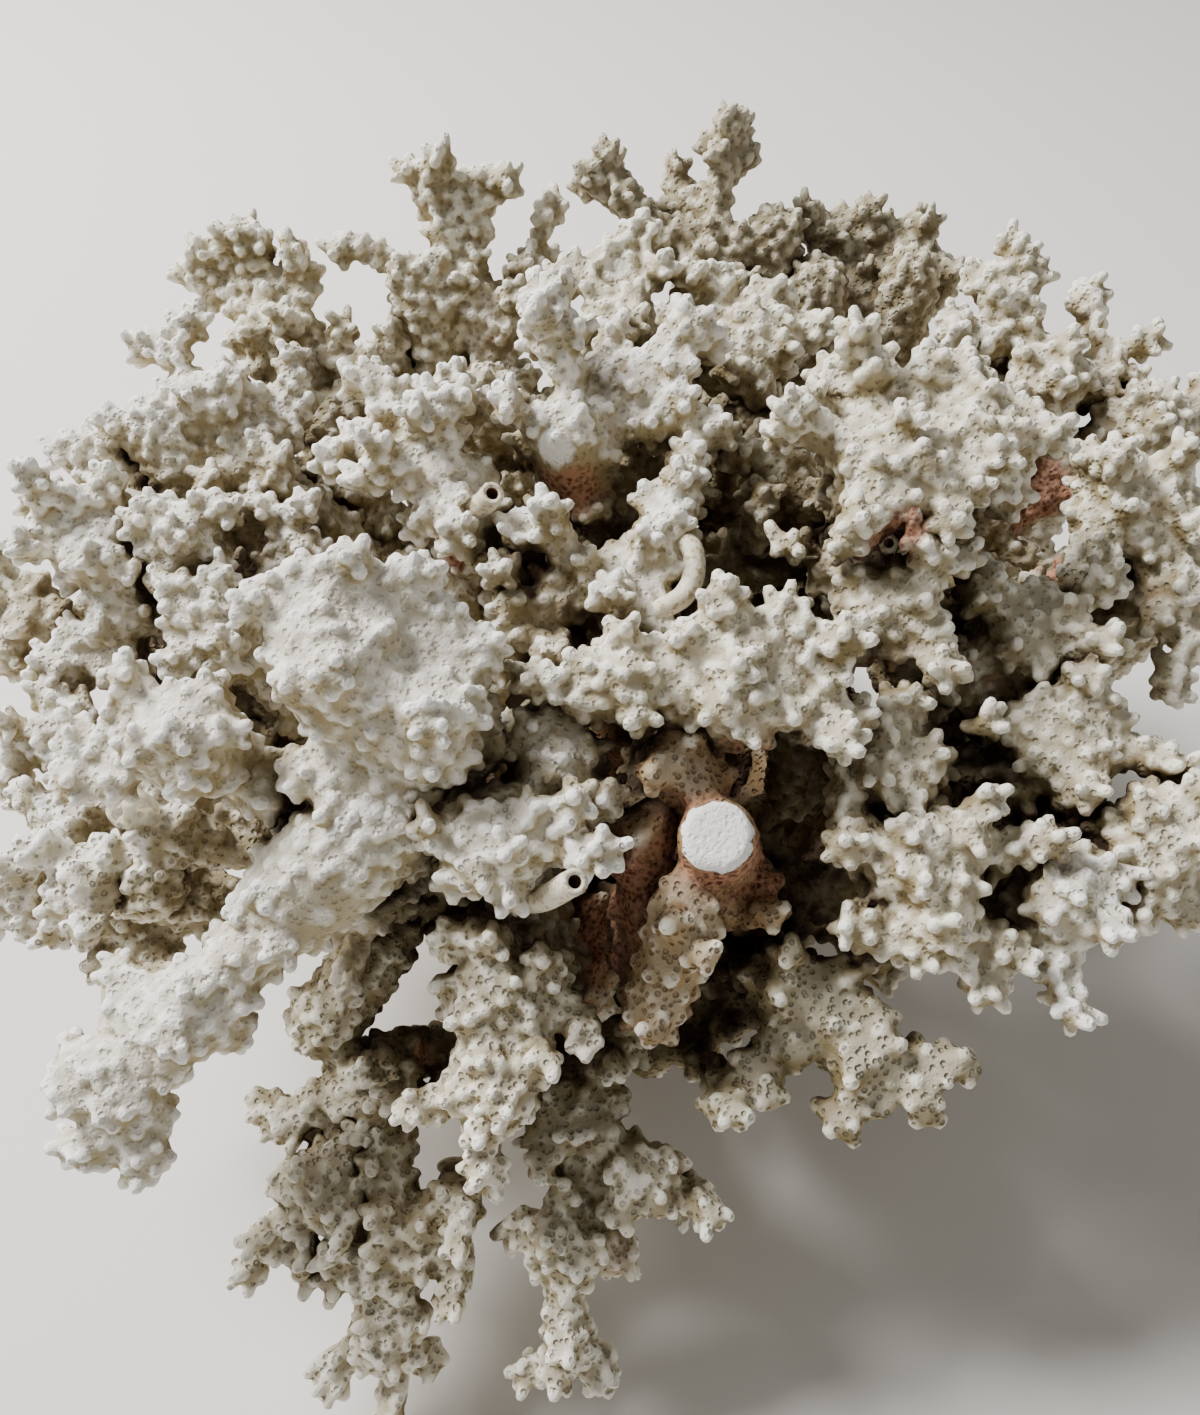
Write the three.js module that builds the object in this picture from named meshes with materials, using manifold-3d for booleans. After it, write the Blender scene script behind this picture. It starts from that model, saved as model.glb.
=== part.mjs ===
// A dried colony of branch coral: a flat-cut holdfast, nine trunks and the branch heads that fork from them.
// Millimetres, +Z up. The origin is the middle of the flat cut the colony stands on, and the side
// with the long drooping branches faces -Y.
import * as THREE from 'three';
import { ConvexGeometry } from 'three/addons/geometries/ConvexGeometry.js';
import { LoftGeometry } from 'three/addons/geometries/LoftGeometry.js';
import { mergeVertices } from 'three/addons/utils/BufferGeometryUtils.js';
import Module from 'manifold-3d';

const wasm = await Module();
wasm.setup();

// Driving dimensions: lengths are in mm, angles in radians, and shares are of the girth or of the angle
// between neighbouring limbs.
const clearance = 0.5;
const limbSides = { stem: 4, arm: 4 };
const unevenness = { share: 0.1, wave: new THREE.Vector3(1.7, 2.3, 1.1), turn: 2.4 };
const rootShare = 0.62;
const bluntShare = 0.5;
const coneShare = { base: 0.42, tip: 0.48 };
const widestOpening = 0.8;
const lumpApart = 0.65;
const lumpMargin = 0.3;
const steep = 0.8;
const farthestNeighbour = 2;
const same = 1e-4;
const holdfast = { sides: 14, stops: [[0, 41], [9, 44], [20, 36], [28, 22]], lobe: 0.06, lobes: 5 };
const root = [4, -2, 16];
const trunkGirth = { root: 17, end: 14 };

const looks = {
  bleached: new THREE.MeshStandardMaterial({ color: 0xe8e3d8, roughness: 0.95, metalness: 0 }),
  ivory: new THREE.MeshStandardMaterial({ color: 0xd8cdb6, roughness: 0.95, metalness: 0 }),
  beige: new THREE.MeshStandardMaterial({ color: 0xbcb09a, roughness: 0.95, metalness: 0 }),
  stained: new THREE.MeshStandardMaterial({ color: 0xa9795f, roughness: 0.95, metalness: 0 }),
};

// Where each trunk ends and its heads begin.
const trunks = {
  trunk_front_left: [-22, -32, 52],
  trunk_front: [-10, -46, 42],
  trunk_front_right: [28, -42, 50],
  trunk_right: [56, -14, 58],
  trunk_rear_right: [50, 30, 72],
  trunk_rear: [8, 42, 74],
  trunk_rear_left: [-42, 36, 68],
  trunk_left: [-56, -4, 58],
  trunk_centre: [4, -6, 82],
};

// Each head stands on a trunk and has one or more forks. A fork lies at a place from the origin with a girth
// (a radius), and each of its arms is the offset of the arm's tip from the fork, with the tip's radius.
// Each fork's stem comes from the trunk or from an earlier fork of the same head, whichever is nearer.
const heads = {
  spread_upper: { trunk: 'trunk_front_left', look: 'bleached', forks: [
    { at: [-39, -55, 109], girth: 11, arms: [] },
    { at: [-42, -47, 130], girth: 11,
      arms: [[-9, 8, 8, 7.5], [0, 10, 10, 7.5], [10, 11, 8, 7.5], [15, 8, 2, 6]] },
    { at: [-28, -52, 123], girth: 9.5, arms: [[7, 10, 5, 6], [8, 5, -4, 6], [7, 5, -13, 6]] },
  ] },
  spread_left: { trunk: 'trunk_front_left', look: 'bleached', forks: [
    { at: [-66, -52, 119], girth: 9.5,
      arms: [[-18, 2, -3, 6.5], [-9, 6, 4, 7.5], [-18, -2, -8, 5], [1, 4, 3, 6]] },
  ] },
  spread_long: { trunk: 'trunk_front_left', look: 'bleached', forks: [
    { at: [-52, -67, 96], girth: 10, arms: [] },
    { at: [-68, -81, 83], girth: 9.5, arms: [[-11, 5, 1, 6]] },
    { at: [-80, -90, 74], girth: 8, arms: [[-7, 3, 3, 5.5], [-4, -6, -7, 5.5], [6, -7, -6, 5]] },
  ] },
  fringe_left: { trunk: 'trunk_front_left', look: 'bleached', forks: [
    { at: [-78, -48, 90], girth: 8, arms: [[-3, 8, 8, 5]] },
    { at: [-91, -54, 85], girth: 7, arms: [[-9, -7, -7, 4], [-8, 4, 5, 5], [2, -8, -3, 4.5]] },
  ] },
  shade_left: { trunk: 'trunk_front_left', look: 'ivory', forks: [
    { at: [-81, -42, 64], girth: 7.5,
      arms: [[-15, -11, -8, 5], [-6, -12, -8, 4.5], [-17, -5, -3, 5], [5, -6, -5, 4]] },
  ] },
  fringe_edge: { trunk: 'trunk_left', look: 'bleached', forks: [
    { at: [-103, -35, 79], girth: 7, arms: [[-9, 4, 3, 5]] },
    { at: [-111, -45, 74], girth: 6.5, arms: [[-6, -9, -6, 4], [-9, -1, 2, 5], [3, -8, -5, 4.5]] },
  ] },
  ledge_left: { trunk: 'trunk_left', look: 'bleached', forks: [
    { at: [-105, -22, 86], girth: 7.5, arms: [[-11, 1, 3, 5], [-2, 7, 6, 5], [-14, -3, -6, 5]] },
  ] },
  wing_far: { trunk: 'trunk_left', look: 'ivory', forks: [
    { at: [-120, 10, 94], girth: 8, arms: [[-8, 6, 8, 6], [-10, -3, 0, 6], [-4, -8, -5, 5]] },
  ] },
  wing_upper: { trunk: 'trunk_left', look: 'bleached', forks: [
    { at: [-100, 8, 109], girth: 9, arms: [[-10, 6, 11, 6], [0, 7, 10, 6], [-12, -1, 4, 6]] },
    { at: [-99, -2, 99], girth: 7, arms: [[-12, -5, -2, 4.5], [-8, -9, -8, 4.5], [4, 3, 3, 4.5]] },
    { at: [-102, 30, 105], girth: 8, arms: [[-12, 7, 10, 6], [-3, 8, 12, 5.5], [3, 4, 7, 6]] },
  ] },
  tuft_left: { trunk: 'trunk_left', look: 'bleached', forks: [
    { at: [-84, 10, 111], girth: 8.5,
      arms: [[-5, 2, 8, 6], [6, 3, 8, 5.5], [-8, -2, 2, 5], [-5, -8, -4, 4.5]] },
  ] },
  tuft_small: { trunk: 'trunk_left', look: 'bleached', forks: [
    { at: [-66, 16, 103], girth: 6, arms: [[-3, 3, 11, 4.5], [5, 3, 11, 4.5], [4, -3, 5, 5]] },
  ] },
  tuft_low: { trunk: 'trunk_left', look: 'bleached', forks: [
    { at: [-75, -7, 101], girth: 8, arms: [[-8, 3, 7, 5.5], [0, 7, 8, 6], [-7, -3, -1, 5], [5, 5, 1, 6]] },
  ] },
  crown_left: { trunk: 'trunk_rear_left', look: 'ivory', forks: [
    { at: [-74, 70, 124], girth: 10, arms: [[-6, 11, 18, 7], [-16, 10, 11, 6.5], [7, 8, 11, 7]] },
    { at: [-52, 62, 117], girth: 8, arms: [[-6, 6, 8, 6], [7, 7, 8, 6], [-10, -7, -6, 4.5]] },
  ] },
  crown_side: { trunk: 'trunk_rear_left', look: 'bleached', forks: [
    { at: [-85, 44, 122], girth: 8.5,
      arms: [[-5, 12, 12, 7], [-11, 9, 9, 6], [-16, -6, -3, 4.5], [7, 0, 6, 6]] },
    { at: [-73, 39, 114], girth: 7, arms: [[6, 8, 8, 5], [2, -7, -4, 4], [-9, -8, -2, 5]] },
  ] },
  tower_left: { trunk: 'trunk_rear', look: 'ivory', forks: [
    { at: [-34, 77, 132], girth: 10,
      arms: [[-3, 11, 21, 7], [9, 12, 19, 7], [-19, 1, 10, 7.5], [-9, -4, 5, 7]] },
    { at: [-18, 79, 129], girth: 5.5, arms: [[6, 10, 16, 3.5], [-2, -7, 2, 5]] },
  ] },
  candelabra: { trunk: 'trunk_rear', look: 'beige', forks: [
    { at: [24, 82, 133], girth: 7.5,
      arms: [[6, 20, 24, 5], [-23, 13, 17, 6], [-6, 21, 12, 4.5], [17, 6, 8, 4]] },
  ] },
  plume: { trunk: 'trunk_rear', look: 'ivory', forks: [
    { at: [4, 39, 143], girth: 9, arms: [[1, 15, 11, 6], [-9, 9, 8, 5.5], [8, 10, 8, 5.5]] },
    { at: [30, 35, 138], girth: 10, arms: [[4, 11, 9, 6.5], [-9, 14, 9, 6], [10, 5, 4, 6]] },
  ] },
  back_fan: { trunk: 'trunk_rear_right', look: 'beige', forks: [
    { at: [62, 89, 121], girth: 10,
      arms: [[-12, 11, 17, 5.5], [1, 13, 15, 6], [13, 9, 14, 6], [19, 2, 6, 5.5], [-15, 1, 4, 5.5]] },
  ] },
  mast: { trunk: 'trunk_rear_right', look: 'ivory', forks: [
    { at: [95, 44, 129], girth: 9.5,
      arms: [[-6, 16, 18, 8.5], [-14, 15, 13, 5.5], [-20, 7, 7, 5.5], [-9, 3, 6, 6]] },
    { at: [106, 47, 125], girth: 6.5, arms: [[10, 7, 7, 4.5], [4, 25, 9, 5.5]] },
  ] },
  edge_upper: { trunk: 'trunk_rear_right', look: 'ivory', forks: [
    { at: [114, 38, 122], girth: 9, arms: [[15, 5, 6, 5.5], [11, 0, 4, 6], [13, -4, -2, 5], [2, 6, 3, 6]] },
  ] },
  bank: { trunk: 'trunk_rear_right', look: 'ivory', forks: [
    { at: [50, -11, 142], girth: 11,
      arms: [[-15, 7, 7, 7], [-6, 18, 11, 7], [6, 15, 9, 6.5], [9, -6, -2, 7], [-6, -9, -3, 6]] },
    { at: [64, -7, 145], girth: 8, arms: [[1, 11, 8, 5.5], [10, 4, 2, 6], [8, -2, -8, 6]] },
  ] },
  ridge: { trunk: 'trunk_rear_right', look: 'ivory', forks: [
    { at: [45, -16, 126], girth: 7.5, arms: [[-15, 2, 7, 5.5], [-8, 0, 5, 5.5], [-1, -13, -3, 5]] },
    { at: [53, -26, 125], girth: 7, arms: [[4, 3, 9, 6], [5, -9, -3, 4.5], [-4, -5, -3, 4]] },
  ] },
  flame: { trunk: 'trunk_centre', look: 'bleached', forks: [
    { at: [-3, 12, 135], girth: 9,
      arms: [[-7, 9, 21, 7.5], [20, 10, 17, 7.5], [-14, -3, 8, 4.5], [5, 15, 10, 5.5]] },
    { at: [13, 13, 140], girth: 6, arms: [[8, -5, 1, 4], [4, -7, -4, 4]] },
  ] },
  arch: { trunk: 'trunk_centre', look: 'bleached', forks: [
    { at: [-25, 2, 128], girth: 9, arms: [[-15, 1, 8, 5.5], [-5, 6, 14, 7.5], [-1, -10, -2, 6]] },
    { at: [-39, 18, 131], girth: 8,
      arms: [[-5, 7, 10, 5.5], [-11, -5, -1, 5.5], [7, 13, 5, 6.5], [12, 12, -1, 6]] },
  ] },
  bank_left: { trunk: 'trunk_centre', look: 'ivory', forks: [
    { at: [36, 12, 125], girth: 8,
      arms: [[-9, 0, 6, 4.5], [-2, 20, 4, 6.5], [5, -6, -1, 6], [-5, -9, -3, 5]] },
  ] },
  nest: { trunk: 'trunk_centre', look: 'bleached', forks: [
    { at: [-2, -11, 117], girth: 8,
      arms: [[-8, 2, 12, 6.5], [-18, -11, -3, 4.5], [-13, -6, 3, 5], [-7, -11, -4, 5.5]] },
    { at: [10, -11, 124], girth: 8, arms: [[-8, -11, 2, 5.5], [6, 12, 11, 5.5], [-1, -13, -4, 6]] },
  ] },
  table: { trunk: 'trunk_centre', look: 'ivory', forks: [
    { at: [22, -42, 121], girth: 11,
      arms: [[16, 2, 7, 7], [8, 6, 10, 7], [-1, 8, 11, 6.5], [16, -6, -2, 6], [-7, 5, 7, 7]] },
    { at: [3, -44, 123], girth: 8, arms: [[-14, 1, 2, 5], [-8, -2, -3, 5], [1, 7, 3, 6]] },
  ] },
  shoulder_right: { trunk: 'trunk_right', look: 'ivory', forks: [
    { at: [78, -21, 113], girth: 10,
      arms: [[-9, 6, 9, 6.5], [7, 1, 9, 6], [12, 5, 8, 5.5], [9, -7, 3, 6]] },
    { at: [65, -23, 106], girth: 7.5, arms: [[-12, 0, 3, 6], [2, -3, 5, 5], [13, -6, 1, 4]] },
  ] },
  globe_right: { trunk: 'trunk_right', look: 'ivory', forks: [
    { at: [101, 7, 122], girth: 10.5,
      arms: [[-3, 3, 8, 7], [8, 2, 7, 6.5], [10, -5, 2, 5.5], [-8, -9, -2, 6]] },
    { at: [109, -8, 112], girth: 7.5, arms: [[-2, -13, -6, 5], [4, -10, -4, 5], [6, 1, 2, 6]] },
  ] },
  cliff_upper: { trunk: 'trunk_right', look: 'ivory', forks: [
    { at: [51, -48, 107], girth: 9,
      arms: [[14, 4, 8, 5.5], [-1, 9, 9, 5], [-8, 2, -1, 6], [8, 0, 5, 6.5]] },
  ] },
  edge_mid: { trunk: 'trunk_right', look: 'ivory', forks: [
    { at: [83, -39, 104], girth: 9.5,
      arms: [[14, -4, 3, 4.5], [4, 4, 8, 6.5], [-6, 3, 4, 7], [0, -9, -2, 6]] },
  ] },
  skirt_right: { trunk: 'trunk_right', look: 'bleached', forks: [
    { at: [78, -63, 94], girth: 9,
      arms: [[-1, -15, -10, 4.5], [7, -7, 0, 5], [7, 0, 5, 5], [-8, -7, -9, 4.5]] },
  ] },
  edge_low: { trunk: 'trunk_right', look: 'ivory', forks: [
    { at: [94, -56, 99], girth: 10,
      arms: [[10, 4, 8, 6], [-1, -9, -6, 5], [8, -9, -7, 5], [11, -2, 0, 6]] },
  ] },
  cliff: { trunk: 'trunk_front_right', look: 'ivory', forks: [
    { at: [54, -61, 100], girth: 10,
      arms: [[10, 6, 9, 5.5], [-10, 3, 1, 7], [6, 1, 7, 6.5], [18, 2, 1, 6]] },
    { at: [57, -69, 94], girth: 7.5, arms: [[6, -9, -8, 4], [10, -2, -3, 5], [-7, -1, -4, 6]] },
  ] },
  snapped: { trunk: 'trunk_front_right', look: 'stained', forks: [
    { at: [23, -56, 87], girth: 7.5, arms: [[-4, -4, 20, 6.5]] },
    { at: [15, -47, 108], girth: 7, arms: [[-4, -4, 5, 4.5], [-1, 4, 9, 5]] },
    { at: [13, -69, 93], girth: 6, arms: [[-4, -12, -11, 4.5], [-2, -6, -4, 6], [3, 4, 3, 5]] },
  ] },
  lace_fan: { trunk: 'trunk_front_right', look: 'ivory', forks: [
    { at: [34, -71, 75], girth: 8.5,
      arms: [[-13, -16, -10, 5], [-5, -14, -8, 5], [9, 0, 6, 5.5], [16, 2, 6, 4.5]] },
    { at: [45, -81, 72], girth: 7, arms: [[-3, -11, -7, 3.5], [9, -7, -3, 4.5], [15, -2, 1, 4.5]] },
  ] },
  understory: { trunk: 'trunk_front_right', look: 'ivory', forks: [
    { at: [24, -58, 59], girth: 8,
      arms: [[-5, -12, -6, 6], [3, 4, 7, 5], [-14, -10, -9, 6], [3, -8, -2, 5]] },
  ] },
  knuckle: { trunk: 'trunk_front', look: 'bleached', forks: [
    { at: [-16, -63, 107], girth: 9.5,
      arms: [[14, -5, 2, 6.5], [10, 0, 6, 6.5], [-10, 2, 1, 6.5], [-5, -4, -3, 6.5]] },
    { at: [-8, -47, 108], girth: 8.5, arms: [[-6, 3, 6, 5], [3, 5, 8, 6], [7, -5, -4, 5]] },
  ] },
  tassel: { trunk: 'trunk_front', look: 'ivory', forks: [
    { at: [-17, -76, 80], girth: 9.5, arms: [[-3, 7, 10, 6.5], [14, -2, -2, 4.5], [10, 4, 3, 5]] },
    { at: [-18, -88, 73], girth: 8.5, arms: [[-2, -11, -8, 5], [-11, -2, -3, 4.5], [8, 2, 4, 5]] },
  ] },
  long_left: { trunk: 'trunk_front', look: 'ivory', forks: [
    { at: [-43, -77, 51], girth: 10, arms: [[-19, -4, -3, 4.5], [-11, 13, 3, 6], [5, 7, 2, 6]] },
  ] },
  long_left_out: { trunk: 'trunk_front', after: 'long_left', look: 'ivory', forks: [
    { at: [-51, -92, 42], girth: 8.5, arms: [[-15, -11, -10, 4], [-10, -4, -3, 5], [-3, -9, -6, 5]] },
  ] },
  long_left_low: { trunk: 'trunk_front', after: 'long_left', look: 'ivory', forks: [
    { at: [-38, -100, 36], girth: 9, arms: [[-9, -3, -2, 5]] },
    { at: [-39, -110, 25], girth: 7.5, arms: [[1, -8, -12, 4], [-12, -5, -7, 4.5], [9, -5, -7, 4]] },
    { at: [-31, -97, 39], girth: 6, arms: [[4, 4, 3, 3.5], [4, -5, -4, 4.5]] },
  ] },
  long_middle: { trunk: 'trunk_front', look: 'ivory', forks: [
    { at: [-5, -83, 53], girth: 9.5, arms: [[8, 10, 6, 5]] },
    { at: [-6, -102, 42], girth: 7.5, arms: [[11, -2, -2, 4.5], [-8, 3, 1, 5]] },
    { at: [-6, -112, 31], girth: 6.5, arms: [[-4, -5, -7, 4], [5, -4, -6, 4.5]] },
    { at: [7, -94, 51], girth: 7.5, arms: [[10, -2, -3, 4], [6, -5, -5, 4]] },
  ] },
  rear_low_left: { trunk: 'trunk_rear_left', look: 'ivory', forks: [
    { at: [-66, 74, 80], girth: 10,
      arms: [[-14, 12, 8, 6], [-4, 15, 2, 6], [-12, 5, -9, 6], [5, 12, 12, 6]] },
  ] },
  side_rear_left: { trunk: 'trunk_rear_left', look: 'ivory', forks: [
    { at: [-94, 44, 66], girth: 9, arms: [[-15, 4, 7, 6], [-10, 12, 0, 6], [-13, -6, -6, 5.5]] },
  ] },
  rear_low: { trunk: 'trunk_rear', look: 'ivory', forks: [
    { at: [-12, 88, 84], girth: 10.5,
      arms: [[-13, 11, 8, 6.5], [4, 15, 6, 6], [-3, 12, -10, 6], [13, 8, -2, 6]] },
  ] },
  rear_skirt: { trunk: 'trunk_rear', look: 'ivory', forks: [
    { at: [26, 84, 44], girth: 9.5,
      arms: [[-10, 14, -4, 5.5], [3, 17, 2, 6], [15, 10, -5, 5.5], [2, 6, 13, 6]] },
  ] },
  rear_low_right: { trunk: 'trunk_rear_right', look: 'ivory', forks: [
    { at: [56, 84, 78], girth: 10,
      arms: [[-8, 14, 6, 6], [8, 14, 0, 6], [16, 6, 8, 6], [4, 10, -12, 5.5]] },
  ] },
  side_rear_right: { trunk: 'trunk_rear_right', look: 'ivory', forks: [
    { at: [96, 52, 74], girth: 9.5,
      arms: [[14, 8, 6, 6], [14, -5, 2, 6], [9, 6, -11, 5.5], [2, 14, -2, 6]] },
  ] },
};

const point = ([x, y, z]) => new THREE.Vector3(x, y, z);

// A small uneven factor around 1 that depends only on the place it is asked for.
function uneven(place, turn) {
  return 1 + unevenness.share * Math.sin(place.dot(unevenness.wave) + turn * unevenness.turn);
}

// A solid from its corners and triangles, with every corner first moved outwards by the extra.
function solidFrom(corners, triangles, extra) {
  const outward = corners.map(() => new THREE.Vector3());
  const face = new THREE.Triangle();
  const normal = new THREE.Vector3();
  for (let index = 0; index < triangles.length; index += 3) {
    const three = triangles.slice(index, index + 3);
    face.set(...three.map((corner) => corners[corner])).getNormal(normal);
    three.forEach((corner) => outward[corner].add(normal));
  }
  const moved = corners.map((corner, index) => (
    corner.clone().addScaledVector(outward[index].normalize(), extra)));
  return new wasm.Manifold(new wasm.Mesh({
    numProp: 3,
    vertProperties: new Float32Array(moved.flatMap((corner) => corner.toArray())),
    triVerts: new Uint32Array(triangles),
  }));
}

// Unit directions in a ring round an axis, an opening angle away from it.
function ring(axis, opening, sides) {
  const lean = Math.abs(axis.z) < steep ? new THREE.Vector3(0, 0, 1) : new THREE.Vector3(0, 1, 0);
  const across = new THREE.Vector3().crossVectors(lean, axis).normalize();
  return Array.from({ length: sides }, (_, side) => {
    const turned = across.clone().applyAxisAngle(axis, (2 * Math.PI * side) / sides);
    return axis.clone().multiplyScalar(Math.cos(opening)).addScaledVector(turned, Math.sin(opening));
  });
}

// How wide each limb of a fork may open before it would touch the nearest other one.
function openings(limbs, girth) {
  return limbs.map(({ axis, radius }) => {
    const others = limbs.filter((other) => other.axis !== axis);
    const nearest = Math.min(farthestNeighbour, ...others.map((other) => other.axis.angleTo(axis)));
    const wanted = Math.asin(Math.min(Math.sin(widestOpening), radius / girth));
    return { base: Math.min(wanted, coneShare.base * nearest), tip: coneShare.tip * nearest };
  });
}

// The corners of the bare lump, in the directions that no limb takes.
function lumpCorners(limbs, open) {
  const corners = [];
  const sphere = new THREE.IcosahedronGeometry(1, 1).attributes.position;
  for (let index = 0; index < sphere.count; index += 1) {
    const direction = new THREE.Vector3().fromBufferAttribute(sphere, index).normalize();
    const bare = limbs.every(({ axis }, limb) => axis.angleTo(direction) > open[limb].base + lumpMargin);
    if (bare && corners.every((other) => other.angleTo(direction) > lumpApart)) corners.push(direction);
  }
  return corners;
}

// One closed solid round a fork: a lump whose faces are drawn out into the stem and the arms.
// Every limb stays in a cone of its own from the fork, so none cuts another.
function forkSolid(fork, girth, limbs, extra) {
  const open = openings(limbs, girth);
  const rings = limbs.map(({ axis, sides }, limb) => ring(axis, open[limb].base, sides));
  const directions = [...rings.flat(), ...lumpCorners(limbs, open)];
  const owners = rings.flatMap((corners, limb) => corners.map(() => limb));
  const corners = directions.map((direction) => (
    direction.clone().multiplyScalar(girth * uneven(direction, girth)).add(fork)));
  const ends = limbs.flatMap(({ axis, length, radius, sides }, limb) => {
    const width = Math.min(radius, length * Math.sin(open[limb].tip));
    const centre = fork.clone().addScaledVector(axis, length);
    return ring(axis, Math.PI / 2, sides).map((across, side) => (
      centre.clone().addScaledVector(across, width * uneven(across, side + limb))));
  });
  const hull = new ConvexGeometry(directions).attributes.position;
  const triangles = [];
  const corner = new THREE.Vector3();
  for (let index = 0; index < hull.count; index += 3) {
    const triangle = [0, 1, 2].map((step) => {
      corner.fromBufferAttribute(hull, index + step);
      return directions.findIndex((direction) => direction.distanceTo(corner) < same);
    });
    const [first, second, third] = triangle.map((at) => owners[at]);
    const drawnOut = first !== undefined && first === second && second === third;
    triangles.push(...triangle.map((at) => (drawnOut ? at + directions.length : at)));
  }
  let start = 0;
  for (const { length: sides } of rings) {
    for (let side = 0; side < sides; side += 1) {
      const near = start + side;
      const next = start + ((side + 1) % sides);
      const nearEnd = near + directions.length;
      const nextEnd = next + directions.length;
      triangles.push(near, next, nearEnd, next, nextEnd, nearEnd);
    }
    start += sides;
  }
  return solidFrom([...corners, ...ends], triangles, extra);
}

function toward(fork, end, radius, sides, beyond) {
  const leg = end.clone().sub(fork);
  return { axis: leg.clone().normalize(), length: leg.length() + beyond, radius, sides };
}

function join(solids) {
  return solids.reduce((whole, solid) => whole.add(solid));
}

function headSolid({ trunk, after, forks }, extra) {
  const starts = [after ? point(heads[after].forks[0].at) : point(trunks[trunk])];
  return join(forks.map(({ at, girth, arms }) => {
    const fork = point(at);
    const start = starts.reduce((best, other) => (
      other.distanceTo(fork) < best.distanceTo(fork) ? other : best));
    starts.push(fork);
    return forkSolid(fork, girth, [
      toward(fork, start, girth * rootShare, limbSides.stem, 0),
      ...arms.map(([x, y, z, radius]) => (
        toward(fork, fork.clone().add(point([x, y, z])), radius, limbSides.arm, radius * bluntShare))),
    ], extra);
  }));
}

function trunkSolid(end, extra) {
  const tip = point(end);
  const foot = toward(tip, point(root), trunkGirth.root, limbSides.stem, 0);
  return forkSolid(tip, trunkGirth.end, [foot], extra);
}

// The holdfast is lobed round its edge, and its lowest section is the flat cut at z = 0.
function holdfastSolid(extra) {
  const sections = holdfast.stops.map(([height, radius]) => (
    Array.from({ length: holdfast.sides }, (_, side) => {
      const angle = (2 * Math.PI * side) / holdfast.sides;
      const reach = radius * (1 + holdfast.lobe * Math.sin(holdfast.lobes * angle));
      return new THREE.Vector3(reach * Math.cos(angle), reach * Math.sin(angle), height);
    })
  ));
  const { index, attributes } = new LoftGeometry(sections, { capStart: true, capEnd: true });
  const bare = new THREE.BufferGeometry();
  bare.setIndex(index);
  bare.setAttribute('position', attributes.position);
  const merged = mergeVertices(bare, same);
  const corners = Array.from({ length: merged.attributes.position.count }, (_, corner) => (
    new THREE.Vector3().fromBufferAttribute(merged.attributes.position, corner)));
  return solidFrom(corners, Array.from(merged.index.array), extra);
}

function largest(solid) {
  return solid.decompose().reduce((best, piece) => (piece.volume() > best.volume() ? piece : best));
}

function meshFrom(name, solid, look) {
  const { vertProperties, triVerts } = solid.getMesh();
  const geometry = new THREE.BufferGeometry();
  geometry.setAttribute('position', new THREE.BufferAttribute(new Float32Array(vertProperties), 3));
  geometry.setIndex(new THREE.BufferAttribute(new Uint32Array(triVerts), 1));
  geometry.computeVertexNormals();
  const mesh = new THREE.Mesh(geometry, looks[look]);
  mesh.name = name;
  return mesh;
}

// Pieces are placed one after another. Each is cut back from a slightly swollen copy of every earlier one,
// so that they meet face to face with a hairline between them.
const colony = new THREE.Group();
const placed = [];

function meets(a, b) {
  return [0, 1, 2].every((axis) => a.min[axis] <= b.max[axis] && b.min[axis] <= a.max[axis]);
}

function place(name, build, look) {
  let solid = build(0);
  for (const earlier of placed) {
    if (meets(solid.boundingBox(), earlier.boundingBox())) solid = solid.subtract(earlier);
  }
  placed.push(build(clearance));
  colony.add(meshFrom(name, largest(solid), look));
}

place('holdfast', holdfastSolid, 'ivory');
for (const [name, end] of Object.entries(trunks)) place(name, (extra) => trunkSolid(end, extra), 'stained');
for (const [name, head] of Object.entries(heads)) place(name, (extra) => headSolid(head, extra), head.look);

export default colony;
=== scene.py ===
# A dried colony of branch coral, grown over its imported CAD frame.
# Metres, +Z up. The flat cut stands on the floor and the long branches droop towards -Y.
import math
import random

import bmesh
import bpy
from mathutils import Matrix, Vector
from mathutils.bvhtree import BVHTree
from mathutils.kdtree import KDTree


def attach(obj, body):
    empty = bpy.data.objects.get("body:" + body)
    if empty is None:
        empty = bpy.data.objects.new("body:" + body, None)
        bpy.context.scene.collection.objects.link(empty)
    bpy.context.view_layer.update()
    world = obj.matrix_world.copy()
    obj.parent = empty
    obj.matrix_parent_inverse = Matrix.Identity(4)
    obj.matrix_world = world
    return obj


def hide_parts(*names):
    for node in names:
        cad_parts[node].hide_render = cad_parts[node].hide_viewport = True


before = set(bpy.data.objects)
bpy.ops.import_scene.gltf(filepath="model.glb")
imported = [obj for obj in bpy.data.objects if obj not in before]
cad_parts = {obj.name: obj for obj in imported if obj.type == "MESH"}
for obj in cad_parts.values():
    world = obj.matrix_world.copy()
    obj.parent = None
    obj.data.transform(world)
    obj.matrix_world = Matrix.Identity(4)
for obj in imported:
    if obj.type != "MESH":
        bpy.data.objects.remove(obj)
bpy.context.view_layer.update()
mm = 0.001
weld = 0.01 * mm  # corners nearer to each other than this are one
heart = Vector((8, 0, 15)) * mm  # where the colony's growth starts
print("frame loaded:", len(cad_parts), "nodes")


# Small tools

def linearColour(hexColour):
    channels = [int(hexColour[start:start + 2], 16) / 255 for start in (1, 3, 5)]
    linear = [c / 12.92 if c <= 0.04045 else ((c + 0.055) / 1.055) ** 2.4 for c in channels]
    return (*linear, 1)


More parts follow.
